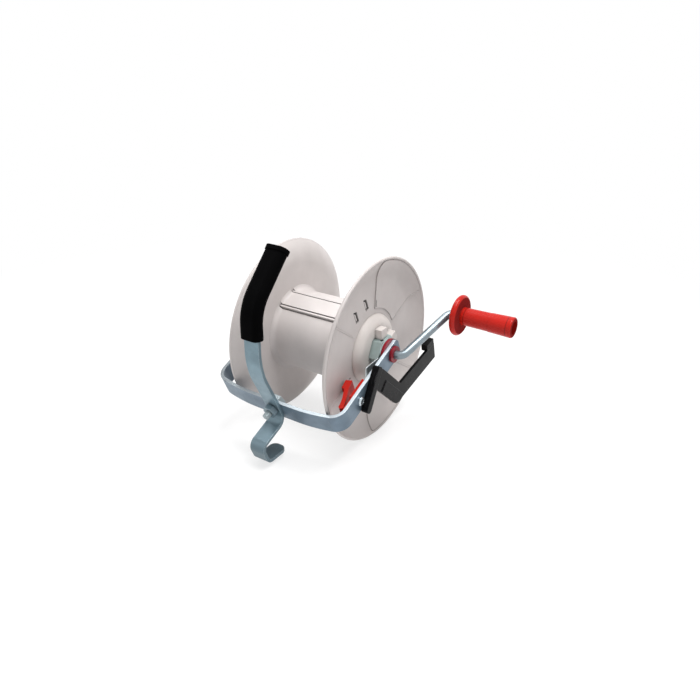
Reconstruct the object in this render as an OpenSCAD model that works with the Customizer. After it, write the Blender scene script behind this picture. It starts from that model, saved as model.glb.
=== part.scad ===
// Electric fence reel: a cranked plastic drum in a bent flat-steel frame with a hand grip and a hook.
// Millimetres. The origin is the centre of the drum on its axle, +X runs along the axle to the crank,
// +Z is up. Frame pieces are drawn with the arms level, running to -Y, and are then tilted as a set.

/* [Drum] */
// Diameter of the drum ends
flange_d = 225; // [190:1:260]
// Width over the flat discs of the drum ends
drum_w = 116; // [96:1:140]
// Wall of the drum ends
flange_t = 3; // [2:0.1:4]
// Mean radius of the flare towards the rim
flare_r = 36; // [30:1:42]
// Slope of the flare at the rim
flare_angle = 46; // [36:1:50]
// Radius of the rolled rim
rim_r = 1.8; // [1.6:0.1:2.6]
// Diameter of the winding core
barrel_d = 99; // [90:1:120]
// Wall of the winding core
barrel_t = 3; // [2:0.1:4]
// Depth of the lip inside each end of the core
spigot_l = 6; // [4:0.5:10]
// Height of the raised sectors that the pawl works on
step_h = 1; // [0.6:0.1:1.6]
// Number of raised sectors
step_count = 3; // [2:1:5]
// Turn of the drum at rest, from straight up towards the frame's back
drum_turn = 24; // [0:1:60]
// Width of the flat wire bar along the core
wire_bar_w = 22; // [16:0.5:28]
// Height of the wire bar's face over the round core
wire_bar_h = 0.8; // [0.4:0.1:1.6]
// Width of the two rails beside the wire bar
rail_w = 2.2; // [1.6:0.1:3.2]
// Width of the grooves on both sides of a rail
groove_w = 1.5; // [0.8:0.1:2]
// Radius of the fillet between the core and the drum ends
core_fillet = 7; // [4:0.5:12]
// Width of the two wire slots in the drum end
slot_w = 6; // [4:0.1:7]
// Length of the two wire slots
slot_l = 17; // [12:0.5:20]

/* [Hub and drive] */
// Diameter of the domed hub on the disc
hub_d = 86; // [76:1:88]
// Height of the dome over the disc
dome_h = 9; // [7:0.5:12]
// Radius of the dome's shoulder
dome_r = 12; // [10:0.5:14]
// Angle between two castellations
lug_pitch = 68; // [55:1:80]
// Height of the castellations
lug_h = 9; // [6:0.5:9.5]
// Outer diameter of the castellated ring
lug_d = 60; // [52:1:60]
// Width of one castellation
lug_w = 12; // [8:0.5:14]
// Size of the drive hexagon over its flats
hex_af = 36; // [30:0.5:40]
// Depth of the hexagon in its socket
socket_l = 7; // [5:0.5:9]
// Diameter of the cross pin that keys the hexagon
drive_pin_d = 4; // [3:0.1:5]

/* [Crank] */
// Diameter of the axle and crank rod
rod_d = 10; // [8:0.5:12]
// Radius of the crank, from axle to grip
crank_r = 84; // [70:1:100]
// Slope of the crank arm from the axle's direction
crank_angle = 76; // [65:1:85]
// Bend radius of the rod at its middle
crank_bend_r = 10; // [9:0.5:14]
// Length of the grip from the guard disc to its end
grip_l = 72; // [55:1:80]
// Diameter of the grip at its end
grip_d = 25; // [22:0.5:30]
// Taper of the grip's radius towards the guard disc
grip_taper = 1.75; // [0.5:0.25:2.5]
// Diameter of the guard disc
guard_d = 50; // [40:1:56]
// Thickness of the guard disc
guard_t = 8; // [5:0.5:9]

/* [Frame] */
// Width of the flat steel strap
strap_w = 25; // [20:0.5:30]
// Thickness of the strap
strap_t = 4; // [3:0.1:5]
// Space between the drum's rim and the right arm
right_gap = 14.7; // [14:0.1:20]
// Space between the drum's rim and the left arm
left_gap = 21.7; // [18:0.1:28]
// Space between the drum's edge and the frame's back
back_gap = 6; // [5:0.5:15]
// Bend radius at the two corners, at the strap's middle
corner_r = 16; // [10:0.5:20]
// Radius of the bow beside the flat middle of the back
bow_r = 250; // [200:5:400]
// Length of the flat middle of the back
back_flat = 60; // [40:1:70]
// Length of the arms past the axle
arm_tip = 15; // [13:0.5:22]
// Tilt of the frame, down towards the back strap
frame_tilt = 24.3; // [15:0.1:35]

/* [Bushes] */
// Diameter of the bush's neck in the arm
bush_neck_d = 16; // [14:0.5:18]
// Diameter of the bush's inner flange
bush_in_d = 35; // [30:0.5:36]
// Diameter of the bush's outer flange
bush_out_d = 20; // [18.5:0.5:24]
// Thickness of both flanges
bush_flange_t = 3.2; // [2.5:0.1:4]
// Diameter of the axle's washer
axle_washer_d = 20; // [18:0.5:26]
// Thickness of the axle's washer
axle_washer_t = 1.6; // [1.2:0.1:2.5]
// Diameter of the split pin's wire pair
split_pin_d = 2.5; // [2:0.1:3.2]

/* [Handle] */
// Width of the handle bar
bar_w = 20; // [16:0.5:24]
// Thickness of the handle bar
bar_t = 4; // [3:0.1:5]
// Bend of the bar away from the drum above the strap
bar_lean = 3; // [1:0.5:8]
// Length of the leaning stretch
bar_lean_l = 34; // [25:1:45]
// Radius of the bend that brings the bar upright
bar_rise_r = 90; // [70:1:120]
// Upright stretch, most of it in the grip
bar_up_l = 30; // [24:1:40]
// Radius of the bend inside the grip
bar_back_r = 50; // [40:1:70]
// Bend of the grip back over the drum
bar_back = 42; // [30:1:50]
// Straight stretch at the bar's upper end
bar_top_l = 46; // [38:1:60]
// Width of the rubber grip
hand_w = 27; // [25:0.5:34]
// Thickness of the rubber grip
hand_t = 15; // [13:0.5:20]
// How far the collar at the grip's upper end stands proud
hand_collar = 0.9; // [0.6:0.1:2.4]

/* [Hook] */
// Bend radius out of the strap
hook_out_r = 12; // [9:0.5:16]
// Straight stretch away from the strap
hook_out_l = 24; // [14:1:30]
// Bend radius of the hook's back
hook_r = 9; // [7:0.5:12]
// Straight stretch down the hook's back
hook_back_l = 10; // [4:0.5:14]
// Last bend, towards the drum
hook_turn = 69; // [60:1:85]
// Length of the hook's tongue
hook_tongue = 26; // [16:1:30]

/* [Handle bolt] */
// Diameter of the bolt
bolt_d = 8; // [6:0.5:8]
// Size of head and nut over the flats
bolt_af = 15; // [12:0.5:16]
// Height of head and nut
bolt_head = 6; // [4:0.1:7]
// Place of the bolt across the strap
bolt_w = 5.5; // [4.5:0.5:6]
// Bolt end beyond the nut
bolt_end = 7; // [2:0.5:10]
// Diameter of the washer
washer_d = 14; // [13:0.5:14]
// Thickness of the washer
washer_t = 1.6; // [1.2:0.1:2.2]

/* [Pawl and brake] */
// Distance of the pawl's hinge from the axle, along the arm
pawl_hinge_a = 97; // [94:0.5:99]
// Distance of the bracket's free end from the axle
bracket_end_a = 54; // [52:0.5:60]
// Distance of the bracket's thick foot from the axle
bracket_foot_a = 82; // [80:0.5:84]
// Distance of the screw from the axle
screw_a = 76; // [72:0.5:82]
// Diameter of the screw
screw_d = 5; // [4:0.5:6]
// Diameter of the screw's pan head
screw_head_d = 11; // [8:0.5:11.5]
// Width of the pawl and its bracket
pawl_w = 20; // [16:0.5:24]
// Thickness of the bracket
bracket_t = 4; // [3:0.25:4]
// Thickness of the bracket's base under the hinge
base_t = 2; // [1.5:0.1:2.5]
// Diameter of the pawl's hinge pin
pawl_pin_d = 3; // [2.5:0.1:3.5]
// Thickness of the brake spring
spring_t = 1; // [0.7:0.1:1.2]
// Width of the brake spring
spring_w = 22; // [16:0.5:24]
// Slope of the spring's ramp
spring_ramp = 30; // [24:1:34]
// Length of the ramp
spring_ramp_l = 13; // [10:0.5:14]

/* [Lock lever] */
// Distance of the lever's pivot from the axle, along the arm
lever_pivot_a = 38; // [36:0.5:42]
// Diameter of the pivot rivet
rivet_d = 6; // [5:0.5:8]
// Thickness of the lever's plate
lever_t = 3.5; // [2.5:0.1:5]
// Depth of the lever, from the arm to its face
lever_depth = 8.5; // [7:0.1:9.5]
// Width of the lever's middle leg
lever_mid_w = 24; // [20:0.5:26]
// Width of the lever's long leg
lever_arm_w = 22.5; // [18:0.5:24]
// Length of the lever's long leg
lever_arm_l = 93; // [70:1:100]
// Width of the thumb leg
thumb_w = 9; // [5:0.25:9.5]
// Height of the ridge on the middle leg
ridge_h = 1; // [0.5:0.1:1.5]

/* [Hidden] */
$fn = 96;
run_gap = 0.05;     // radial running clearance of shafts and pins
seat_gap = 0.3;     // clearance between pieces that move past each other
axial_play = 0.4;   // end play of the drum between its bushes
cut = 1;            // overshoot of cutting tools
hex_gap = 0.2;      // clearance of the hexagon in its socket
lap = 0.2;          // setback of the stretches of one bent piece from their joint
proud = 0.04;       // how far the ball or plate that closes such a joint stands proud
link_l = 1;         // straight link between two bends

flange_r = flange_d / 2;
disc_x = drum_w / 2;
disc_mid_x = disc_x - flange_t / 2;
flat_r = flange_r - rim_r - flare_r * sin(flare_angle);
rim_x = disc_mid_x + flare_r * (1 - cos(flare_angle));
rim_face_x = rim_x + rim_r;
barrel_r = barrel_d / 2;
barrel_l = drum_w - 2 * flange_t;
spigot_r = barrel_r - barrel_t - run_gap;
hub_r = hub_d / 2;
hub_hole_r = hub_r - 7;
step_span = 180 / step_count;
first_step = -28.5;  // first raised sector, from the wire bar towards the drum's top
rib_h = 0.4;         // height of the ribs over the raised sectors, whose edges they follow
rib_turn = 1;        // width of a rib as an angle
rail_y = wire_bar_w / 2 + groove_w + rail_w / 2;
rail_top = barrel_r + wire_bar_h / 2;
groove_floor = sqrt(pow(barrel_r, 2) - pow(rail_y, 2)) - 0.7 * barrel_t;

rod_r = rod_d / 2;
bore_r = rod_r + run_gap;
dome_x = disc_x + dome_h;
lug_x = dome_x + lug_h;
socket_x = dome_x - socket_l;
hex_turn = -16.5;    // turn of the hexagon from the wire bar
lug_turn = hex_turn - 3.5;  // first castellation, from the wire bar

arm_x = rim_face_x + right_gap;
arm_out_x = arm_x + strap_t;
left_x = rim_face_x + left_gap;
left_out_x = left_x + strap_t;
back_in = flange_r + back_gap;
back_out = back_in + strap_t;
bush_in_x = arm_x - bush_flange_t;
bush_out_x = arm_out_x + bush_flange_t;
hex_end_x = bush_in_x - axial_play;
left_bush_in_x = left_x - bush_flange_t;
left_bush_out_x = left_out_x + bush_flange_t;
left_nose_x = left_bush_in_x - axial_play;

washer_x = left_bush_out_x + axial_play;
split_pin_x = washer_x + axle_washer_t + split_pin_d / 2 + run_gap;
axle_end_x = split_pin_x + split_pin_d / 2 + 3;
drive_pin_x = hex_end_x - drive_pin_d;
bend_start_x = bush_out_x + 1;

grip_r = grip_d / 2;
grip_round = 2;      // radius of the grip's end edge
grip_step = 0.3;     // step at the end of the grip's thinner part
crank_rise = 2 * crank_bend_r * (1 - cos(crank_angle));
crank_arm_l = (crank_r - crank_rise) / sin(crank_angle);
crank_arm_x = bend_start_x + 2 * crank_bend_r * sin(crank_angle) + crank_arm_l * cos(crank_angle);
guard_x = crank_arm_x + 1.5;
grip_end_x = guard_x + grip_l;
cap_l = 9;           // length of the end cap in the grip
cap_wall = 3;        // end wall of the cap
clip_t = 1;          // thickness of the push-on clip
pin_end_x = grip_end_x - cap_wall - 2;
clip_x = grip_end_x - cap_l - clip_t;
cap_r = rod_r + 3;

bow_angle = asin(((arm_x + left_x + strap_t) / 2 - back_flat / 2 - corner_r) / (bow_r - corner_r));
bow_drop = bow_r * (1 - cos(bow_angle));
arm_l = back_in + strap_t / 2 - bow_drop - corner_r * cos(bow_angle) - link_l * sin(bow_angle);

bar_mid = back_out + bar_t / 2;
hook_start = 2;      // where the hook's first bend starts, below the strap's middle
bar_flat = hook_start + strap_w / 2 + 1;
bar_lean_r = 60;     // bend radius of the slight lean
bar_tip_r = bar_w / 2 - 2;
lean_now = frame_tilt + bar_lean;
up_steps = [[bar_flat, 0], [bar_lean_r, -bar_lean], [bar_lean_l, 0], [bar_rise_r, lean_now]];
grip_lead = 15;      // bare upright stretch below the grip
hand_steps = [[bar_up_l - grip_lead, 0], [bar_back_r, bar_back], [bar_top_l, 0]];
bar_steps = concat(up_steps, [[grip_lead, 0]], hand_steps);
hook_steps = [[hook_out_r, 90], [hook_out_l, 0], [hook_r, -90], [hook_back_l, 0],
    [hook_r, -hook_turn], [hook_tongue - bar_tip_r, 0]];
hand_slot = 0.1;     // clearance of the bar in the rubber
hand_end_l = 6;      // closed end of the rubber above the bar
collar_l = 5;        // length of the collar at the grip's upper end

bracket_x = arm_x - spring_t;
bracket_in_x = bracket_x - bracket_t;
base_in_x = bracket_x - base_t;
knuckle_r = pawl_pin_d / 2 + 1.6;
hinge_x = base_in_x - knuckle_r - seat_gap;
knuckle_w = pawl_w / 3;
pawl_tip_a = 62;     // distance of the pawl's tooth from the axle
pawl_l = pawl_hinge_a - pawl_tip_a;
tooth_w = 7.5;       // width of the pawl's head
barb_l = 12;         // length of the head down to its barb
barb_d = 5.5;        // depth of the notch under the barb
pawl_cap = 1.5;      // wall over the upper end of the hinge pin
pawl_clear = 2.8;     // height of the lifted pawl over the raised sectors
tooth_x = disc_x + step_h + pawl_clear;
spring_bend_r = 5;   // bend radius of the brake spring
spring_return = 18;  // slope of the spring's return
spring_return_l = 17; // length of the return

lever_x = arm_out_x + seat_gap;
lever_face_x = arm_out_x + lever_depth;
lever_back_x = lever_face_x - lever_t;
rivet_end_x = lever_face_x - 1.5;
rivet_bead_x = lever_back_x - 1;
rivet_bead = 0.5;    // height of the bead that keeps the lever on its rivet
lever_w = 2;         // height of the pivot over the arm's middle
mid_top = [6, 4];    // from the pivot to the middle leg's upper end, back along the arm and up
knee = [-18.5, -49.5];
thumb_top = [2, 14];
thumb_end = [37.5, -15];
arm_drop = 9.5;      // slope of the long leg against the arm
tab_l = 17;          // length of the tab at the long leg's end
tab_rise = 8;        // height of the tab over the long leg

zinc = [0.62, 0.68, 0.72];
bright_zinc = [0.74, 0.79, 0.81];
drum_grey = [0.80, 0.78, 0.76];
hub_white = [0.86, 0.84, 0.80];
signal_red = [0.80, 0.12, 0.09];
black_rubber = [0.05, 0.05, 0.055];
black_plastic = [0.13, 0.13, 0.14];

function dir(angle) = [cos(angle), sin(angle)];

// Frames and basic forms

// Tilt of everything that belongs to the frame
module tilted() rotate([frame_tilt, 0, 0]) children();

// Local Z along the axle, starting at x
module on_axle(x) translate([x, 0, 0]) rotate([0, 90, 0]) children();

// Drum pieces turned so that local +Z is the middle of the wire bar
module drum_set() rotate([drum_turn, 0, 0]) children();

// A revolved profile given as radius and place along the axle
module lathe() rotate([0, 90, 0]) rotate_extrude() children();

// Profile of a tube or ring from radius r0 to r1 and place x0 to x1
module band(r0, r1, x0, x1) translate([r0, x0]) square([r1 - r0, x1 - x0]);

// Ring sector of mean radius r and thickness t
module arc_band(r, t, start, turn) {
    reach = 2 * (r + t);
    intersection() {
        difference() {
            circle(r + t / 2);
            circle(r - t / 2);
        }
        polygon([[0, 0], reach * dir(start), reach * dir(start + turn / 2), reach * dir(start + turn)]);
    }
}

// Moves along a bent path that starts at the origin towards +X. Each step is a length and 0,
// or a bend radius and a turn to the left.
module past(steps, i = 0) {
    if (i == len(steps)) children();
    else if (steps[i][1] == 0) translate([steps[i][0], 0, 0]) past(steps, i + 1) children();
    else {
        side = sign(steps[i][1]) * steps[i][0];
        translate([0, side, 0]) rotate(steps[i][1]) translate([0, -side, 0]) past(steps, i + 1) children();
    }
}

function upto(steps, n) = [for (i = [0:1:n - 1]) steps[i]];

// Solid of the first child's 2-D section swept along a path. The second child is the same section a
// little larger, for the thin plates that close the joints between two stretches.
module swept(steps) {
    for (i = [0:len(steps) - 1]) past(upto(steps, i)) {
        r = steps[i][0];
        turn = steps[i][1];
        if (i > 0) stretch(-2 * lap, 2 * lap) children(1);
        if (turn == 0) translate([lap, 0, 0]) rotate([90, 0, 90]) linear_extrude(r - 2 * lap) children(0);
        else if (turn > 0) translate([0, r, 0]) rotate(-90) rotate_extrude(angle = turn)
            translate([r, 0]) children(0);
        else translate([0, -r, 0]) rotate(90 + turn) rotate_extrude(angle = -turn)
            translate([r, 0]) children(0);
    }
}

// Straight stretch of a 2-D section from x0 to x1
module stretch(x0, x1) translate([x0, 0, 0]) rotate([90, 0, 90]) linear_extrude(x1 - x0) children();

// Flat strip bent along a path
module bent_strip(steps, t, w) swept(steps) {
    square([t, w], center = true);
    square([t + 2 * proud, w + 2 * proud], center = true);
}

// Round rod bent along a path, with a ball that closes each joint between two stretches
module bent_rod(steps, r) {
    for (i = [0:len(steps) - 1]) past(upto(steps, i)) {
        bend_r = steps[i][0];
        turn = steps[i][1];
        if (i > 0) sphere(r + proud);
        if (turn == 0) translate([i > 0 ? lap : 0, 0, 0]) rotate([90, 0, 90])
            cylinder(r = r, h = bend_r - (i > 0 && i < len(steps) - 1 ? 2 * lap : lap));
        else if (turn > 0) translate([0, bend_r, 0]) rotate(-90) rotate_extrude(angle = turn)
            translate([bend_r, 0]) circle(r);
        else translate([0, -bend_r, 0]) rotate(90 + turn) rotate_extrude(angle = -turn)
            translate([bend_r, 0]) circle(r);
    }
}

// Upright oval with round ends
module stadium(w, h) {
    square([w, h - w], center = true);
    for (s = [-1, 1]) translate([0, s * (h - w) / 2]) circle(w / 2);
}

// Bar with round ends from p to q, in the plane of the points
module link(p, q, w) {
    d = q - p;
    translate(p) rotate(atan2(d[1], d[0])) {
        translate([0, -w / 2]) square([norm(d), w]);
        circle(w / 2);
        translate([norm(d), 0]) circle(w / 2);
    }
}

module hex_prism(af, h) linear_extrude(h) circle(d = af / cos(30), $fn = 6);

// Pieces on the frame's arms take local X outwards, Y towards the back and Z across the strap
module on_arm(x, a, w = 0) translate([x, -a, w]) children();

// Frame

module bent_strap() {
    corner = 90 - bow_angle;
    arm = arm_l + arm_tip + lap;
    translate([arm_x + strap_t / 2, arm_tip + lap, 0]) rotate(-90) bent_strip([[arm, 0], [corner_r, -corner],
        [link_l, 0], [bow_r, -bow_angle], [back_flat - 2 * link_l * cos(bow_angle), 0],
        [bow_r, -bow_angle], [link_l, 0], [corner_r, -corner], [arm, 0]], strap_t, strap_w);
}

module tip_corners(x) {
    r = strap_w / 4;
    for (s = [-1, 1]) on_arm(x, -arm_tip, s * strap_w / 2) rotate([0, 90, 0])
        linear_extrude(strap_t + 2 * cut) difference() {
            square(2 * r, center = true);
            translate([s * r, -r]) circle(r);
        }
}

module frame_strap() color(zinc) tilted() difference() {
    bent_strap();
    on_axle(-left_out_x - cut) cylinder(r = bush_neck_d / 2, h = left_out_x + arm_out_x + 2 * cut);
    on_arm(arm_x - cut, screw_a) rotate([0, 90, 0]) cylinder(d = screw_d + 2 * run_gap, h = strap_t + 2 * cut);
    on_arm(arm_x - cut, lever_pivot_a, lever_w) rotate([0, 90, 0])
        cylinder(d = rivet_d, h = strap_t + 2 * cut);
    translate([0, -back_in + cut, bolt_w]) rotate([90, 0, 0])
        cylinder(d = bolt_d + 2 * run_gap, h = strap_t + 2 * cut);
    tip_corners(arm_x - cut);
    tip_corners(-left_out_x - cut);
}

// Round end of the hook's tongue
module tongue_tip() rotate([90, 0, 0]) linear_extrude(bar_t, center = true) {
    translate([0, -bar_w / 2 + bar_tip_r]) square([bar_tip_r, bar_w - 2 * bar_tip_r]);
    for (s = [-1, 1]) translate([0, s * (bar_w / 2 - bar_tip_r)]) intersection() {
        circle(bar_tip_r);
        translate([0, -bar_tip_r]) square([bar_tip_r, 2 * bar_tip_r]);
    }
}

module handle_bar() color(zinc) tilted() difference() {
    translate([0, -bar_mid, -hook_start]) rotate([90, 0, -90]) {
        rotate(90) {
            bent_strip(bar_steps, bar_t, bar_w);
            stretch(-2 * lap, 2 * lap) slot_section(proud);
        }
        rotate(-90) {
            bent_strip(hook_steps, bar_t, bar_w);
            past(hook_steps) {
                stretch(-2 * lap, 2 * lap) slot_section(proud);
                tongue_tip();
            }
        }
    }
    translate([0, -back_out + cut, bolt_w]) rotate([90, 0, 0])
        cylinder(d = bolt_d + 2 * run_gap, h = bar_t + 2 * cut);
}

module hand_section(grow) stadium(hand_t + 2 * grow, hand_w + 2 * grow);

module slot_section(grow) square([bar_t + 2 * grow, bar_w + 2 * grow], center = true);

module hand_grip() color(black_rubber) tilted() translate([0, -bar_mid, -hook_start])
    rotate([90, 0, -90]) rotate(90) past(concat(up_steps, [[grip_lead, 0]])) difference() {
        union() {
            swept(hand_steps) {
                hand_section(0);
                hand_section(proud);
            }
            past(hand_steps) {
                stretch(-collar_l, hand_end_l - collar_l / 2) hand_section(0);
                stretch(hand_end_l - collar_l, hand_end_l) hand_section(hand_collar);
            }
        }
        swept(hand_steps) {
            slot_section(hand_slot);
            slot_section(hand_slot + proud);
        }
        stretch(-cut, cut) slot_section(hand_slot + proud);
        past(hand_steps) stretch(-cut, lap + hand_slot) slot_section(hand_slot + proud);
    }

module handle_bolt() color(bright_zinc) tilted() translate([0, 0, bolt_w]) {
    translate([0, -back_in + bolt_head, 0]) rotate([90, 0, 0]) hex_prism(bolt_af, bolt_head);
    translate([0, -back_in, 0]) rotate([90, 0, 0])
        cylinder(d = bolt_d, h = strap_t + bar_t + washer_t + bolt_head + bolt_end);
}

module handle_washer() color(bright_zinc) tilted() translate([0, -back_out - bar_t, bolt_w])
    rotate([90, 0, 0]) difference() {
        cylinder(d = washer_d, h = washer_t);
        translate([0, 0, -cut]) cylinder(d = bolt_d + 2 * run_gap, h = washer_t + 2 * cut);
    }

module handle_nut() color(bright_zinc) tilted() translate([0, -back_out - bar_t - washer_t, bolt_w])
    rotate([90, 0, 0]) difference() {
        intersection() {
            hex_prism(bolt_af, bolt_head);
            rotate_extrude() polygon([[0, 0], [bolt_af, 0], [bolt_af, bolt_head / 2],
                [bolt_af / 2, bolt_head], [0, bolt_head]]);
        }
        translate([0, 0, -cut]) cylinder(d = bolt_d + 2 * run_gap, h = bolt_head + 2 * cut);
    }

// Bushes, drawn from the drum's side outwards

module bush() lathe() difference() {
    union() {
        band(0, bush_in_d / 2, 0, bush_flange_t);
        band(0, bush_neck_d / 2, 0, 2 * bush_flange_t + strap_t);
        band(0, bush_out_d / 2, bush_flange_t + strap_t, 2 * bush_flange_t + strap_t);
    }
    band(0, bore_r, -cut, 2 * bush_flange_t + strap_t + cut);
}

module right_bush() color(signal_red) translate([bush_in_x, 0, 0]) bush();

module left_bush() color(signal_red) mirror([1, 0, 0]) translate([left_bush_in_x, 0, 0]) bush();

// Brake spring and pawl on the inside of the right arm

module brake_spring() color(bright_zinc) tilted() difference() {
    on_arm(arm_x - spring_t / 2, pawl_hinge_a) rotate(90)
        bent_strip([[pawl_hinge_a - bracket_end_a, 0], [spring_bend_r, spring_ramp],
            [spring_ramp_l, 0], [spring_bend_r, -spring_ramp - spring_return],
            [spring_return_l, 0]], spring_t, spring_w);
    on_arm(bracket_in_x, screw_a) rotate([0, 90, 0])
        cylinder(d = screw_d + 2 * run_gap, h = bracket_t + spring_t + cut);
}

// Knuckle of the pawl's hinge from w0 to w1 across the strap
module knuckle(w0, w1) translate([hinge_x, -pawl_hinge_a, w0]) cylinder(r = knuckle_r, h = w1 - w0);

module hinge_hole() translate([hinge_x, -pawl_hinge_a, -pawl_w / 2 - cut])
    cylinder(d = pawl_pin_d + 2 * run_gap, h = pawl_w - pawl_cap + cut);

module pawl_bracket() color(signal_red) tilted() difference() {
    web = knuckle_r - lap;
    union() {
        on_arm(bracket_in_x, bracket_foot_a, -pawl_w / 2)
            cube([bracket_t, bracket_foot_a - bracket_end_a, pawl_w]);
        on_arm(base_in_x, pawl_hinge_a + knuckle_r, -pawl_w / 2 + lap)
            cube([base_t - proud, pawl_hinge_a + knuckle_r - bracket_foot_a + cut, pawl_w - 2 * lap]);
        on_arm(hinge_x, pawl_hinge_a + web, -knuckle_w / 2)
            cube([base_in_x - hinge_x + lap, 2 * web, knuckle_w]);
        knuckle(-knuckle_w / 2, knuckle_w / 2);
    }
    hinge_hole();
    on_arm(bracket_in_x - cut, screw_a) rotate([0, 90, 0]) cylinder(d = screw_d, h = bracket_t + 2 * cut);
}

module pawl_pin() color(bright_zinc) tilted() translate([hinge_x, -pawl_hinge_a, -pawl_w / 2])
    cylinder(d = pawl_pin_d, h = pawl_w - pawl_cap - seat_gap);

module pawl_screw() color(bright_zinc) tilted() on_arm(bracket_in_x, screw_a) rotate([0, 90, 0]) {
    cylinder(d = screw_d, h = bracket_t + spring_t + strap_t);
    translate([0, 0, bracket_t + spring_t + strap_t]) difference() {
        union() {
            cylinder(d = screw_head_d, h = 1.6);
            translate([0, 0, 1.6]) cylinder(d1 = screw_head_d, d2 = screw_head_d - 3, h = 1.2);
        }
        for (q = [0, 90]) rotate(q + 20) translate([-2.6, -0.6, 1.2]) cube([5.2, 1.2, 2]);
    }
}

// Edge view of the pawl, with its hinge at the origin and the leg towards +Y
module pawl_profile() {
    reach_x = tooth_x - hinge_x;
    circle(knuckle_r);
    polygon([[reach_x, pawl_l], [reach_x + tooth_w, pawl_l + 2], [reach_x + tooth_w + 2.8, pawl_l - 10],
        [knuckle_r - 0.5, 2], [0, 0], [0.3 - knuckle_r, 0.5], [-1.5 * knuckle_r, pawl_l / 4],
        [reach_x + barb_d, pawl_l - barb_l], [reach_x + 1.6, pawl_l - barb_l + 0.2]]);
}

module pawl() color(signal_red) tilted() difference() {
    translate([hinge_x, -pawl_hinge_a, -pawl_w / 2]) linear_extrude(pawl_w) pawl_profile();
    translate([hinge_x, -pawl_hinge_a, -knuckle_w / 2 - seat_gap])
        cylinder(r = knuckle_r + 2, h = knuckle_w + 2 * seat_gap);
    hinge_hole();
}

// Lock lever on the outside of the right arm

module lever_rivet() color(bright_zinc) tilted() on_arm(arm_x, lever_pivot_a, lever_w) rotate([0, 90, 0]) {
    translate([0, 0, -2]) cylinder(d = rivet_d + 4, h = 2);
    cylinder(d = rivet_d, h = rivet_end_x - arm_x);
    translate([0, 0, rivet_bead_x - arm_x]) cylinder(d = rivet_d + 2 * rivet_bead, h = 1);
}

// Outlines are seen from outside, with the pivot at the origin and the long leg to the right
module lever_plane(x, h) on_arm(x, lever_pivot_a, lever_w) rotate([90, 0, 90]) linear_extrude(h) children();

function seen(p) = [-p[0], p[1]];

module lever_arm_frame() translate(seen(knee)) rotate(-arm_drop) children();

module lock_lever() color(black_plastic) tilted() difference() {
    union() {
        lever_plane(lever_back_x, lever_t) {
            link(seen(mid_top), seen(knee), lever_mid_w);
            lever_arm_frame() translate([0, -lever_arm_w / 2]) square([lever_arm_l, lever_arm_w]);
        }
        lever_plane(lever_x, lever_depth - seat_gap + ridge_h / 4) {
            link(seen(thumb_top), seen(thumb_end), thumb_w);
            lever_arm_frame() translate([lever_arm_l - tab_l - cut, lever_arm_w / 2 - cut])
                square([tab_l, tab_rise + cut]);
        }
        lever_plane(lever_x, lever_depth - lever_t / 2) circle(d = rivet_d + 8);
        lever_plane(lever_face_x - lever_t / 2, lever_t / 2 + ridge_h) intersection() {
            link(seen(mid_top), seen(knee), lever_mid_w - 2);
            translate(seen(mid_top)) rotate(atan2(knee[1] - mid_top[1], mid_top[0] - knee[0]))
                translate([rivet_d + 9, -lever_mid_w]) square([norm(knee - mid_top), lever_mid_w * 1.15]);
        }
    }
    lever_plane(lever_x - cut, rivet_end_x + seat_gap - lever_x + cut) circle(d = rivet_d + 2 * run_gap);
    lever_plane(rivet_bead_x - seat_gap / 2, 1 + seat_gap) circle(d = rivet_d + 2 * rivet_bead + 2 * run_gap);
}

// Drum: all of it turns with the crank

module crank_axle() color(bright_zinc) tilted() difference() {
    translate([-axle_end_x, 0, 0]) bent_rod([[axle_end_x + bend_start_x, 0], [crank_bend_r, crank_angle],
        [crank_arm_l, 0], [crank_bend_r, -crank_angle], [pin_end_x - crank_arm_x + lap, 0]], rod_r);
    translate([-split_pin_x, 0, -rod_r - cut]) cylinder(d = split_pin_d + 2 * run_gap, h = rod_d + 2 * cut);
    translate([drive_pin_x, 0, -rod_r - cut]) cylinder(d = drive_pin_d + 2 * run_gap, h = rod_d + 2 * cut);
}

module split_pin() color(bright_zinc) tilted() translate([-split_pin_x, 0, 0]) {
    translate([0, 0, -rod_r - 6]) cylinder(d = split_pin_d, h = rod_d + 9);
    translate([0, 0, rod_r + 4]) rotate([0, 90, 0]) rotate_extrude() translate([split_pin_d, 0])
        circle(split_pin_d / 2.5);
}

module axle_washer() color(bright_zinc) mirror([1, 0, 0]) translate([washer_x, 0, 0]) lathe() difference() {
    band(0, axle_washer_d / 2, 0, axle_washer_t);
    band(0, bore_r, -cut, axle_washer_t + cut);
}

module drive_nut() color(bright_zinc) difference() {
    drum_set() intersection() {
        rotate([hex_turn, 0, 0]) on_axle(socket_x + seat_gap) rotate(30)
            hex_prism(hex_af, hex_end_x - socket_x - seat_gap);
        lathe() polygon([[0, socket_x], [hex_af, socket_x], [hex_af, hex_end_x - 5],
            [hex_af / 2, hex_end_x - 1], [hex_af / 2 - 1, hex_end_x], [0, hex_end_x]]);
    }
    on_axle(socket_x - cut) cylinder(r = bore_r, h = hex_end_x - socket_x + 2 * cut);
    tilted() translate([drive_pin_x, 0, -hex_af]) cylinder(d = drive_pin_d + 2 * run_gap, h = 2 * hex_af);
}

module drive_pin() color(zinc) tilted() translate([drive_pin_x, 0, -hex_af / 2 + 1])
    cylinder(d = drive_pin_d, h = hex_af - 2);

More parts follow.
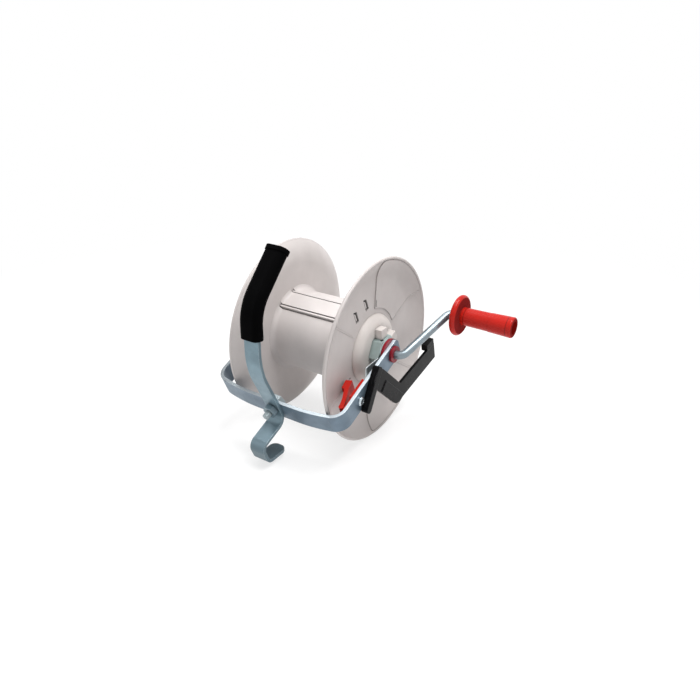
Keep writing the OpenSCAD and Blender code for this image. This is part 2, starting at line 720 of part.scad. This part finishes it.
// Dome and spigot shared by both hubs, drawn for the right side
module hub_profile() difference() {
    union() {
        band(0, hub_r - dome_r, disc_x, dome_x);
        translate([hub_r - dome_r, dome_x - dome_r]) intersection() {
            circle(dome_r);
            translate([0, dome_r - dome_h]) square(dome_r);
        }
        band(0, hub_hole_r - run_gap, disc_x - flange_t - spigot_l, disc_x);
    }
    band(0, hub_hole_r - barrel_t, disc_x - flange_t - spigot_l - cut, socket_x - barrel_t);
    band(0, bore_r, 0, left_x);
}

module hub_right() color(hub_white) drum_set() difference() {
    union() {
        lathe() hub_profile();
        for (i = [0:3]) intersection() {
            lathe() band(0, lug_d / 2, dome_x - 1, lug_x);
            rotate([lug_turn - i * lug_pitch, 0, 0])
                translate([dome_x - 2, -lug_w / 2, 0]) cube([lug_h + 3, lug_w, lug_d]);
        }
    }
    rotate([hex_turn, 0, 0]) on_axle(socket_x) rotate(30)
        hex_prism(hex_af + 2 * hex_gap, lug_x - socket_x + cut);
}

module hub_left() color(hub_white) mirror([1, 0, 0]) lathe() {
    hub_profile();
    difference() {
        band(0, hex_af / 2, dome_x, left_nose_x);
        band(0, bore_r, 0, left_x);
    }
}

// Profile of a drum end, drawn for the right side
module flange_profile() {
    band(hub_hole_r, flat_r + lap, disc_x - flange_t, disc_x);
    translate([flat_r, disc_mid_x + flare_r]) arc_band(flare_r, flange_t, -90, flare_angle);
    translate([flange_r - rim_r, rim_x]) circle(rim_r);
    band(spigot_r - barrel_t, spigot_r, disc_x - flange_t - spigot_l, disc_x - flange_t);
}

// Profile of what is laid on the outer face, from h0 to h1 over the middle of the wall
module step_profile(r0, h0, h1, angle) {
    band(r0, flat_r + lap, disc_mid_x + h0, disc_mid_x + h1);
    translate([flat_r, disc_mid_x + flare_r]) arc_band(flare_r - (h0 + h1) / 2, h1 - h0, -90, angle);
}

// Wire slot with a slanted top
module wire_slot() translate([disc_x - flange_t - cut, 0, barrel_r + 3]) rotate([90, 0, 90])
    linear_extrude(flange_t + step_h + rib_h + 2 * cut) polygon([[-slot_w / 2, 0], [slot_w / 2, 0],
        [slot_w / 2, slot_l - slot_w / 2], [-slot_w / 2, slot_l]]);

module flange_right() color(drum_grey) drum_set() difference() {
    union() {
        lathe() flange_profile();
        for (i = [0:step_count - 1]) rotate([first_step - (2 * i + 1) * step_span, 0, 0])
            rotate([0, 90, 0]) rotate(180) rotate_extrude(angle = step_span)
                step_profile(barrel_r, 0, flange_t / 2 + step_h, flare_angle - 2);
        for (i = [0:2 * step_count - 1]) rotate([first_step - i * step_span - rib_turn / 2, 0, 0])
            rotate([0, 90, 0]) rotate(180) rotate_extrude(angle = rib_turn)
                step_profile(barrel_r + 1, rib_h, flange_t / 2 + step_h + rib_h, flare_angle - 3);
    }
    for (s = [-1, 1]) translate([0, s * wire_bar_w / 2, 0]) wire_slot();
    for (i = [0:step_count - 1]) rotate([first_step - 2 * i * step_span, 0, 0])
        translate([disc_x - flange_t - cut, rail_w / 4, barrel_r + barrel_t / 2])
            cube([flange_t + step_h + rib_h + 2 * cut, rail_w, slot_l / 2]);
}

module flange_left() color(drum_grey) mirror([1, 0, 0]) lathe() flange_profile();

// Fillet at one end of the core
module fillet_profile() difference() {
    band(barrel_r - barrel_t / 2, barrel_r + 0.8 * core_fillet, barrel_l / 2 - core_fillet, barrel_l / 2);
    translate([barrel_r + core_fillet - lap, barrel_l / 2 - core_fillet]) circle(core_fillet);
}

// Bar along the core, w wide from height z0 to z1, at y across
module core_bar(y, w, z0, z1, over = 0) translate([-barrel_l / 2 - over, y - w / 2, z0])
    cube([barrel_l + 2 * over, w, z1 - z0]);

module barrel() color(drum_grey) drum_set() {
    difference() {
        union() {
            lathe() {
                band(barrel_r - barrel_t, barrel_r, -barrel_l / 2, barrel_l / 2);
                fillet_profile();
                mirror([0, 1]) fillet_profile();
            }
            core_bar(0, wire_bar_w, barrel_r - barrel_t, barrel_r + wire_bar_h);
        }
        for (s = [-1, 1]) core_bar(s * rail_y, rail_w + 2 * groove_w, groove_floor, flange_r, cut);
    }
    for (s = [-1, 1]) core_bar(s * rail_y, rail_w, groove_floor - 0.5, rail_top);
}

// Crank grip, free to turn on the crank pin

module at_crank_pin() tilted() translate([0, crank_r, 0]) children();

module crank_grip() color(signal_red) at_crank_pin() lathe() difference() {
    union() {
        band(0, guard_d / 2 - guard_t / 2, guard_x, guard_x + guard_t);
        translate([guard_d / 2 - guard_t / 2, guard_x + guard_t / 2]) circle(guard_t / 2);
        polygon([[0, guard_x + lap], [grip_r - grip_taper, guard_x + lap],
            [grip_r - grip_taper / 2 - grip_step, guard_x + 0.6 * grip_l],
            [grip_r - grip_taper / 2, guard_x + 0.6 * grip_l], [grip_r - proud, grip_end_x - grip_round],
            [0, grip_end_x - grip_round]]);
        translate([grip_r - grip_round, grip_end_x - grip_round]) circle(grip_round);
        band(0, grip_r - grip_round, guard_x + guard_t, grip_end_x);
    }
    band(0, bore_r, guard_x - cut, grip_end_x + cut);
    band(0, cap_r, clip_x, grip_end_x + cut);
}

module grip_clip() color(bright_zinc) at_crank_pin() lathe() difference() {
    band(0, cap_r - seat_gap, clip_x + seat_gap, clip_x + seat_gap + clip_t);
    band(0, rod_r, clip_x - cut, clip_x + clip_t + cut);
}

module grip_cap() color(signal_red) at_crank_pin() lathe() difference() {
    band(0, cap_r, grip_end_x - cap_wall - 4, grip_end_x);
    band(0, rod_r + 1, grip_end_x - cap_wall - 4 - cut, grip_end_x - cap_wall);
}

frame_strap();
handle_bar();
hand_grip();
handle_bolt();
handle_washer();
handle_nut();
right_bush();
left_bush();
brake_spring();
pawl_bracket();
pawl_pin();
pawl_screw();
pawl();
lever_rivet();
lock_lever();
crank_axle();
drive_nut();
drive_pin();
hub_right();
flange_right();
barrel();
flange_left();
hub_left();
axle_washer();
split_pin();
crank_grip();
grip_clip();
grip_cap();
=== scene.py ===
"""Looks of the electric fence reel: finishes, trim and painted shadow in the slots, floor, light and
camera.

Everything is in metres in the part's own frame: the origin is the drum's centre, +X runs along the
axle to the crank and +Z is up.
"""

import math

import bpy
from mathutils import Matrix, Vector


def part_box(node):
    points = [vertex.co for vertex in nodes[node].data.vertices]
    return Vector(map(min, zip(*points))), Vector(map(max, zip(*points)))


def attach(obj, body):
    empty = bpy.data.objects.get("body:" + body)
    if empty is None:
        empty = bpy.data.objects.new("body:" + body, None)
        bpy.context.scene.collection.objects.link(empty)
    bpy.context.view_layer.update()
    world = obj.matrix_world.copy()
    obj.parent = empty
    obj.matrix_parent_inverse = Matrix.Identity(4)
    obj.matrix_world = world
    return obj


MM = 0.001

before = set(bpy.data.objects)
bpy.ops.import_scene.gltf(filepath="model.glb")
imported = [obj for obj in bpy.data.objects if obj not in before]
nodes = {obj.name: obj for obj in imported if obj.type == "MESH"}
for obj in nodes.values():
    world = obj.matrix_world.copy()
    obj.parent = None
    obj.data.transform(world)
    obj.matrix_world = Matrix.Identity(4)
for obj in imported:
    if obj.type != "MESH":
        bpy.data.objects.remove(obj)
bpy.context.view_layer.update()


# Node trees

# Spans of a source over which a pattern or mask goes from one end to the other
NOISE_SPAN = (0.3, 0.7)
EDGE_SPAN = (0.72, 0.95)
SHELTER_SPAN = (0.25, 0.80)
FACING_SPAN = (0.85, 0.97)

NOISE_ROUGHNESS = 0.55
# Share of a painted groove's half width that is flat; the groove is painted shade, not cut
GROOVE_FLAT = 0.3


class Tree:
    """Node tree of a material or a world, emptied and built anew."""

    def __init__(self, owner):
        owner.use_nodes = True
        self.tree = owner.node_tree
        self.tree.nodes.clear()

    def add(self, kind, **settings):
        node = self.tree.nodes.new(kind)
        for setting, value in settings.items():
            setattr(node, setting, value)
        return node

    def feed(self, target, value):
        """Link a socket to the target, or set the target to a plain value."""
        if isinstance(value, bpy.types.NodeSocket):
            self.tree.links.new(value, target)
        else:
            target.default_value = value

    def feed_all(self, targets, values):
        for target, value in zip(targets, values):
            self.feed(target, value)

    def number(self, operation, *values):
        """Result of a Math node."""
        node = self.add("ShaderNodeMath", operation=operation)
        self.feed_all(node.inputs, values)
        return node.outputs["Value"]

    def measure(self, operation, *vectors):
        """Result of a Vector Math node that gives a number."""
        node = self.add("ShaderNodeVectorMath", operation=operation)
        self.feed_all(node.inputs, vectors)
        return node.outputs["Value"]

    def remap(self, source, low, high, span):
        """Number that goes from low to high while the source crosses the span."""
        node = self.add("ShaderNodeMapRange")
        sockets = ("Value", "From Min", "From Max", "To Min", "To Max")
        self.feed_all([node.inputs[socket] for socket in sockets], (source, *span, low, high))
        return node.outputs["Result"]

    def shader(self, kind, **sockets):
        """Plain shader with its own sockets set."""
        node = self.add(kind)
        for socket, value in sockets.items():
            node.inputs[socket].default_value = value
        return node.outputs[0]

    def blend(self, factor, first, second):
        """First shader where the factor is 0, second where it is 1."""
        node = self.add("ShaderNodeMixShader")
        self.feed_all(node.inputs, (factor, first, second))
        return node.outputs["Shader"]

    def white_seen(self, lit, white):
        """White shader to camera, glossy and transmission rays, and the lit one to all others."""
        path = self.add("ShaderNodeLightPath")
        seen = path.outputs["Is Camera Ray"]
        for ray in ("Is Glossy Ray", "Is Transmission Ray"):
            seen = self.number("MAXIMUM", seen, path.outputs[ray])
        return self.blend(seen, lit, white)

    def close(self, output_kind, shader):
        """Put the last shader on the tree's output."""
        self.feed(self.add(output_kind).inputs["Surface"], shader)


class Finish(Tree):
    """Material of one Principled shader, with the patterns and masks that feed it.

    The socket is one that has the same value all over the surface.
    """

    def __init__(self, name, socket, value):
        self.material = bpy.data.materials.new(name)
        super().__init__(self.material)
        self.principled = self.add("ShaderNodeBsdfPrincipled")
        self.principled.inputs[socket].default_value = value
        self.close("ShaderNodeOutputMaterial", self.principled.outputs["BSDF"])
        self.coordinates = self.add("ShaderNodeTexCoord")

    def noise(self, size, detail, stretch=(1, 1, 1)):
        """Noise with features of about that size, drawn out along an axis by stretch."""
        mapping = self.add("ShaderNodeMapping")
        self.feed(mapping.inputs["Vector"], self.coordinates.outputs["Object"])
        self.feed(mapping.inputs["Scale"], [1.0 / factor for factor in stretch])
        node = self.add("ShaderNodeTexNoise")
        self.feed(node.inputs["Vector"], mapping.outputs["Vector"])
        self.feed(node.inputs["Scale"], 1.0 / size)
        self.feed(node.inputs["Detail"], detail)
        self.feed(node.inputs["Roughness"], NOISE_ROUGHNESS)
        return node.outputs["Fac"]

    def ramp(self, noise, low, high):
        """Colours from low to high over the span of a noise."""
        node = self.add("ShaderNodeValToRGB")
        for element, position, colour in zip(node.color_ramp.elements, NOISE_SPAN, (low, high)):
            element.position = position
            element.color = (*colour, 1)
        self.feed(node.inputs["Fac"], noise)
        return node.outputs["Color"]

    def mix(self, factor, first, second):
        """First colour where the factor is 0, second where it is 1."""
        node = self.add("ShaderNodeMix", data_type="RGBA")
        values = [factor]
        for colour in (first, second):
            values.append((*colour, 1) if isinstance(colour, tuple) else colour)
        targets = [socket for socket in node.inputs if socket.enabled]
        self.feed_all(targets, values)
        return [socket for socket in node.outputs if socket.enabled][0]

    def edges(self, radius):
        """1 on edges of that rounding radius and 0 on the faces, and the rounded normal."""
        bevel = self.add("ShaderNodeBevel", samples=6)
        self.feed(bevel.inputs["Radius"], radius)
        rounded = bevel.outputs["Normal"]
        flat = self.add("ShaderNodeNewGeometry").outputs["Normal"]
        return self.remap(self.measure("DOT_PRODUCT", rounded, flat), 1.0, 0.0, EDGE_SPAN), rounded

    def corners(self, reach):
        """Mask for painted shade: 1 deep in corners and grooves narrower than that reach, 0 in the open.
        """
        shelter = self.add("ShaderNodeAmbientOcclusion", samples=8)
        self.feed(shelter.inputs["Distance"], reach)
        return self.remap(shelter.outputs["AO"], 1.0, 0.0, SHELTER_SPAN)

    def facing(self, direction):
        """1 on faces square to a direction in the part's frame, on either side."""
        cosine = self.measure("DOT_PRODUCT", self.coordinates.outputs["Normal"], direction)
        return self.remap(self.number("ABSOLUTE", cosine), 0.0, 1.0, FACING_SPAN)

    def along(self, axis):
        """Coordinate along an axis of the part's frame."""
        split = self.add("ShaderNodeSeparateXYZ")
        self.feed(split.inputs["Vector"], self.coordinates.outputs["Object"])
        return split.outputs[axis]

    def ring(self, x, half_width):
        """1 in a painted groove round X of that half width, 0 elsewhere; the groove is painted shade, not
        cut.
        """
        offset = self.number("ABSOLUTE", self.number("SUBTRACT", self.along("X"), x))
        return self.remap(offset, 1.0, 0.0, (GROOVE_FLAT * half_width, half_width))

    def bump(self, height, depth, normal):
        """Normal with a relief of that depth over another normal."""
        node = self.add("ShaderNodeBump")
        self.feed(node.inputs["Strength"], 1.0)
        self.feed(node.inputs["Distance"], depth)
        self.feed(node.inputs["Height"], height)
        self.feed(node.inputs["Normal"], normal)
        return node.outputs["Normal"]

    def finished(self, colour, rough, normal):
        """The material, with its colour, roughness and normal in place."""
        sockets = ("Base Color", "Roughness", "Normal")
        self.feed_all([self.principled.inputs[socket] for socket in sockets], (colour, rough, normal))
        return self.material


# Finishes

def shade(colour, factor):
    """Colour made darker or lighter."""
    return tuple(channel * factor for channel in colour)


# Cut sides of the strap: the direction that they face, and where along X their painted highlight grows and
# whitens
CUT_SIDES = (0, -0.4115, 0.9114)
CUT_HIGHLIGHT_GROWS = (-90 * MM, 60 * MM)
CUT_HIGHLIGHT_WHITENS = (70 * MM, 90 * MM)


def zinc(name, base, edge, rough, metallic, grain=(1, 1, 1), shelter=7 * MM, cut=None, shaded_below_z=None):
    """Zinc-plated steel: cloudy plating, rolled grain, edges lighter by wear and painted highlight, and
    painted shade in corners.

    cut is the direction of the cut sides, which get a painted highlight that grows and whitens along X,
    and shaded_below_z the stretch of Z below which the colour is darkened by painted shade.
    """
    f = Finish(name, "Metallic", metallic)
    clouds = f.noise(size=14 * MM, detail=5)
    rolled = f.noise(size=0.9 * MM, detail=3, stretch=grain)
    rubbed_and_highlit, rounded = f.edges(radius=0.6 * MM)
    plating = f.ramp(clouds, low=shade(base, 0.86), high=shade(base, 1.12))
    # Painted highlight on the cut sides: dim at the left end, white at the right arm
    if cut:
        cut_highlight = f.mix(f.remap(f.along("X"), 0.0, 1.0, CUT_HIGHLIGHT_GROWS), shade(edge, 0.40), edge)
        cut_highlight = f.mix(f.remap(f.along("X"), 0.0, 1.0, CUT_HIGHLIGHT_WHITENS), cut_highlight, shade(edge, 1.7))
        plating = f.mix(f.facing(cut), plating, cut_highlight)
    # Painted shade: colour darker below a stretch of Z, on the handle's hook
    if shaded_below_z:
        plating = f.mix(f.remap(f.along("Z"), 1.0, 0.0, shaded_below_z), plating, shade(base, 0.62))
    # Edges lighter: partly wear, partly painted highlight
    worn_and_highlit = f.mix(rubbed_and_highlit, plating, edge)
    # Painted shade: colour darkened where the surface is sheltered, in corners, bends and recesses
    colour = f.mix(f.corners(shelter), worn_and_highlit, shade(base, 0.45))
    gloss = f.remap(clouds, rough + 0.07, rough - 0.05, NOISE_SPAN)
    grained = f.bump(rolled, depth=0.012 * MM, normal=rounded)
    return f.finished(colour, gloss, f.bump(clouds, depth=0.05 * MM, normal=grained))


def moulded(name, base, edge, rough, mottle, grain, grain_depth, specular, round_off=0.5 * MM,
            shaded_ends=None, shaded_rings=()):
    """Moulded plastic: faint flow mottling, fine eroded grain, edges lighter by wear and painted
    highlight, and painted shade in corners.

    ends is the colour of faces square to X, which are dull and darkened by painted shade, and rings are
    the places of grooves along X, drawn only as painted shade.
    """
    f = Finish(name, "Specular IOR Level", specular)
    flow = f.noise(size=mottle, detail=4)
    skin = f.noise(size=grain, detail=3)
    worn_and_highlit, rounded = f.edges(radius=round_off)
    body = f.ramp(flow, low=shade(base, 0.94), high=shade(base, 1.05))
    gloss = f.remap(flow, rough + 0.05, rough - 0.05, NOISE_SPAN)
    # Painted shade: faces square to X darkened, and made fully rough
    if shaded_ends:
        square = f.facing((1, 0, 0))
        body = f.mix(square, body, shaded_ends)
        gloss = f.number("MAXIMUM", gloss, square)
    # Edges lighter: partly wear, partly painted highlight
    surface = f.mix(worn_and_highlit, body, edge)
    # Painted shade: dark lines where grooves round X would be, none cut
    for x in shaded_rings:
        surface = f.mix(f.ring(x, half_width=0.7 * MM), surface, shade(base, 0.45))
    # Painted shade: colour darkened where the surface is sheltered, in corners, grooves and slots
    colour = f.mix(f.corners(reach=5 * MM), surface, shade(base, 0.42))
    return f.finished(colour, gloss, f.bump(skin, grain_depth, normal=rounded))


strap_zinc = zinc("strap_zinc", base=(0.155, 0.212, 0.27), edge=(0.45, 0.51, 0.55), rough=0.36,
                  metallic=0.45, grain=(6, 1, 1), cut=CUT_SIDES)
bar_zinc = zinc("bar_zinc", base=(0.20, 0.29, 0.34), edge=(0.52, 0.60, 0.64), rough=0.34,
                metallic=0.5, grain=(1, 6, 6), shaded_below_z=(-85 * MM, -50 * MM))
rod_zinc = zinc("rod_zinc", base=(0.25, 0.30, 0.33), edge=(0.58, 0.65, 0.68), rough=0.30,
                metallic=0.65, grain=(6, 1, 1))
spring_zinc = zinc("spring_zinc", base=(0.46, 0.50, 0.51), edge=(0.74, 0.79, 0.81), rough=0.30,
                   metallic=0.5, grain=(1, 5, 5), shelter=1.5 * MM)
screw_zinc = zinc("screw_zinc", base=(0.56, 0.63, 0.68), edge=(0.86, 0.90, 0.92), rough=0.16,
                  metallic=0.9, shelter=2.5 * MM)
part_zinc = zinc("part_zinc", base=(0.42, 0.49, 0.51), edge=(0.72, 0.78, 0.80), rough=0.28, metallic=0.75)
nut_zinc = zinc("nut_zinc", base=(0.21, 0.28, 0.32), edge=(0.50, 0.58, 0.61), rough=0.30, metallic=0.55)
bolt_zinc = zinc("bolt_zinc", base=(0.36, 0.42, 0.44), edge=(0.62, 0.68, 0.70), rough=0.44, metallic=0.45)
drive_zinc = zinc("drive_zinc", base=(0.44, 0.55, 0.54), edge=(0.70, 0.78, 0.77), rough=0.34, metallic=0.5)

drum_plastic = moulded("drum_plastic", base=(0.62, 0.575, 0.56), edge=(0.70, 0.66, 0.645), rough=0.46,
                       mottle=40 * MM, grain=0.7 * MM, grain_depth=0.010 * MM, specular=0.4)
hub_plastic = moulded("hub_plastic", base=(0.70, 0.65, 0.62), edge=(0.76, 0.72, 0.69), rough=0.44,
                      mottle=30 * MM, grain=0.7 * MM, grain_depth=0.010 * MM, specular=0.4,
                      round_off=1.2 * MM)
# Near-black plastic of the slot floors: painted shadow in the slots
slot_shadow_plastic = moulded("slot_shadow_plastic", base=(0.035, 0.032, 0.030), edge=(0.10, 0.092, 0.088), rough=0.55,
                       mottle=20 * MM, grain=0.7 * MM, grain_depth=0.010 * MM, specular=0.2)
red_plastic = moulded("red_plastic", base=(0.49, 0.018, 0.011), edge=(0.58, 0.04, 0.028), rough=0.38,
                      mottle=18 * MM, grain=0.5 * MM, grain_depth=0.006 * MM, specular=0.12)
grip_low, grip_high = (corner.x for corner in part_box("crank_grip"))
grip_red = moulded("grip_red", base=(0.51, 0.014, 0.008), edge=(0.56, 0.028, 0.018), rough=0.26,
                   mottle=18 * MM, grain=0.5 * MM, grain_depth=0.006 * MM, specular=0.20,
                   shaded_ends=(0.22, 0.005, 0.004), shaded_rings=(grip_low + 12.5 * MM, grip_high - 6.5 * MM))
# Painted shade: the grip cap in dark red, for the shade in the crank grip's hollow end
cap_shaded_red = moulded("cap_shaded_red", base=(0.15, 0.004, 0.003), edge=(0.24, 0.008, 0.006), rough=0.60,
                  mottle=9 * MM, grain=0.5 * MM, grain_depth=0.010 * MM, specular=0.0)
bush_plastic = moulded("bush_plastic", base=(0.26, 0.010, 0.022), edge=(0.42, 0.05, 0.07), rough=0.34,
                       mottle=9 * MM, grain=0.5 * MM, grain_depth=0.006 * MM, specular=0.25)
grip_rubber = moulded("grip_rubber", base=(0.0015, 0.0015, 0.0017), edge=(0.004, 0.004, 0.0045),
                      rough=0.60, mottle=12 * MM, grain=0.45 * MM, grain_depth=0.030 * MM,
                      specular=0.015)
lever_plastic = moulded("lever_plastic", base=(0.0030, 0.0030, 0.0036), edge=(0.055, 0.055, 0.060),
                        rough=0.30, mottle=16 * MM, grain=0.5 * MM, grain_depth=0.012 * MM,
                        specular=0.09, round_off=0.9 * MM)

FINISHES = {
    strap_zinc: "frame_strap",
    bar_zinc: "handle_bar",
    rod_zinc: "crank_axle",
    spring_zinc: "brake_spring",
    screw_zinc: "pawl_screw",
    part_zinc: "pawl_pin lever_rivet drive_pin axle_washer split_pin grip_clip",
    nut_zinc: "handle_nut handle_washer",
    bolt_zinc: "handle_bolt",
    drive_zinc: "drive_nut",
    drum_plastic: "flange_right flange_left barrel",
    hub_plastic: "hub_right hub_left",
    red_plastic: "pawl_bracket pawl",
    grip_red: "crank_grip",
    cap_shaded_red: "grip_cap",
    bush_plastic: "right_bush left_bush",
    grip_rubber: "hand_grip",
    lever_plastic: "lock_lever",
}
for finish, names in FINISHES.items():
    for name in names.split():
        nodes[name].data.materials.clear()
        nodes[name].data.materials.append(finish)


# Trim in the two slots of the right drum end: in each, a sunk dark floor that is painted shadow, and the
# end of the wire bar's tab

# The drum's turn at rest, and a slot's foot: its offset to either side of the wire bar and its radius
DRUM_TURN = math.radians(24)
SLOT_SIDE = 11 * MM
SLOT_FOOT = 52.5 * MM

# Outlines in mm from a slot's foot, across the slot and up it, and the stretch of X that each fills
SHADOW_FLOOR_OUTLINE = [(-3.4, -0.4), (3.4, -0.4), (3.4, 14.3), (-3.4, 17.6)]
SHADOW_FLOOR_X = (55.3 * MM, 56.1 * MM)
TAB_OUTLINE = [(-1.7, 2.6), (0.1, 2.6), (0.5, 3.2), (0.5, 12.0), (0.1, 12.6), (-1.3, 13.4), (-1.7, 13.0)]
TAB_X = (55.7 * MM, 57.3 * MM)


def add_object(name, data):
    thing = bpy.data.objects.new(name, data)
    bpy.context.scene.collection.objects.link(thing)
    return thing


def make_trim(name, outline, x_ends, side, finish):
    """Prism along X on an outline in the slot on that side, turned with the drum."""
    cos, sin = math.cos(DRUM_TURN), math.sin(DRUM_TURN)
    points = []
    for x in x_ends:
        for across, up in outline:
            y, z = across * MM + side * SLOT_SIDE, up * MM + SLOT_FOOT
            points.append((x, y * cos - z * sin, y * sin + z * cos))
    count = len(outline)
    faces = [tuple(reversed(range(count))), tuple(range(count, 2 * count))]
    for i in range(count):
        j = (i + 1) % count
        faces.append((i, j, count + j, count + i))
    mesh = bpy.data.meshes.new(name)
    mesh.from_pydata(points, [], faces)
    mesh.materials.append(finish)
    piece = add_object(name, mesh)
    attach(piece, "drum")


for label, side in (("lower", -1), ("upper", 1)):
    # Dark slot floor: painted shadow
    make_trim("slot_shadow_floor_" + label, SHADOW_FLOOR_OUTLINE, SHADOW_FLOOR_X, side, slot_shadow_plastic)
    make_trim("wire_bar_tab_" + label, TAB_OUTLINE, TAB_X, side, drum_plastic)


# Floor, light and camera

WHITE = (1, 1, 1, 1)
WORLD_LIGHT = 0.36

FLOOR_HALF = 4.0
FLOOR_GREY = (0.86, 0.86, 0.86, 1)
# What the camera sees of the floor: a dim grey that takes the shadow, over a glow that lifts it to
# near white, fading to plain white over this span of distance from the floor's centre
SHADOW_GREY = (0.32, 0.32, 0.32, 1)
SHADOW_GLOW = 0.72
SHADOW_FADES = (0.35, 0.90)

# The photograph's camera: the direction from the drum's centre to it, its distance, its focal length
# in pixels and the pixel where the drum's centre lies
PHOTO_PX = 700
CAMERA_SIDE = (0.5273, -0.7461, 0.4066)
CAMERA_DISTANCE = 0.84375
FOCAL_PX = 677.9
CENTRE_PX = (332.14, 336.42)
SENSOR_MM = 36


def make_world():
    world = bpy.data.worlds.new("studio")
    tree = Tree(world)
    lit = tree.shader("ShaderNodeBackground", Color=WHITE, Strength=WORLD_LIGHT)
    white = tree.shader("ShaderNodeBackground", Color=WHITE, Strength=1.0)
    tree.close("ShaderNodeOutputWorld", tree.white_seen(lit, white))
    bpy.context.scene.world = world


def floor_material():
    """Pale floor that looks white but for a soft shadow near the part."""
    material = bpy.data.materials.new("floor")
    tree = Tree(material)
    lit = tree.shader("ShaderNodeBsdfDiffuse", Color=FLOOR_GREY)
    dim = tree.shader("ShaderNodeBsdfDiffuse", Color=SHADOW_GREY)
    glow = tree.shader("ShaderNodeEmission", Strength=SHADOW_GLOW)
    shadowed = tree.add("ShaderNodeAddShader")
    tree.feed_all(shadowed.inputs, (dim, glow))
    white = tree.shader("ShaderNodeEmission", Strength=1.0)
    distance = tree.measure("LENGTH", tree.add("ShaderNodeTexCoord").outputs["Object"])
    fade = tree.remap(distance, 0.0, 1.0, SHADOW_FADES)
    seen = tree.blend(fade, shadowed.outputs["Shader"], white)
    tree.close("ShaderNodeOutputMaterial", tree.white_seen(lit, seen))
    return material


def make_floor(height):
    mesh = bpy.data.meshes.new("floor")
    corners = [(x * FLOOR_HALF, y * FLOOR_HALF, 0) for x, y in ((-1, -1), (1, -1), (1, 1), (-1, 1))]
    mesh.from_pydata(corners, [], [(0, 1, 2, 3)])
    mesh.materials.append(floor_material())
    floor = add_object("floor", mesh)
    floor.location.z = height


def make_lamp(name, place, size, power):
    """Square area lamp that faces the drum's centre."""
    data = bpy.data.lights.new(name, "AREA")
    data.size = size
    data.energy = power
    lamp = add_object(name, data)
    lamp.location = place
    lamp.rotation_euler = (-Vector(place)).to_track_quat("-Z", "Y").to_euler()


def make_camera():
    """Camera that looks at the drum's centre, which lies off the picture's middle."""
    back = Vector(CAMERA_SIDE).normalized()
    right = Vector((0, 0, 1)).cross(back).normalized()
    up = back.cross(right)
    turn = Matrix((right, up, back)).transposed().to_4x4()
    data = bpy.data.cameras.new("camera")
    data.sensor_width = SENSOR_MM
    data.lens = FOCAL_PX / PHOTO_PX * SENSOR_MM
    data.shift_x = 0.5 - CENTRE_PX[0] / PHOTO_PX
    data.shift_y = CENTRE_PX[1] / PHOTO_PX - 0.5
    camera = add_object("camera", data)
    camera.matrix_world = Matrix.Translation(back * CAMERA_DISTANCE) @ turn
    bpy.context.scene.camera = camera


make_world()
make_floor(height=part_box("flange_right")[0].z)
make_lamp("key", place=(0.35, 0.05, 1.40), size=0.9, power=22)
make_lamp("rim", place=(-0.80, 0.30, 1.25), size=0.6, power=7)
make_lamp("fill", place=(-1.2, -0.9, 0.5), size=1.2, power=3.5)
make_camera()

bpy.context.scene.view_settings.view_transform = "Standard"
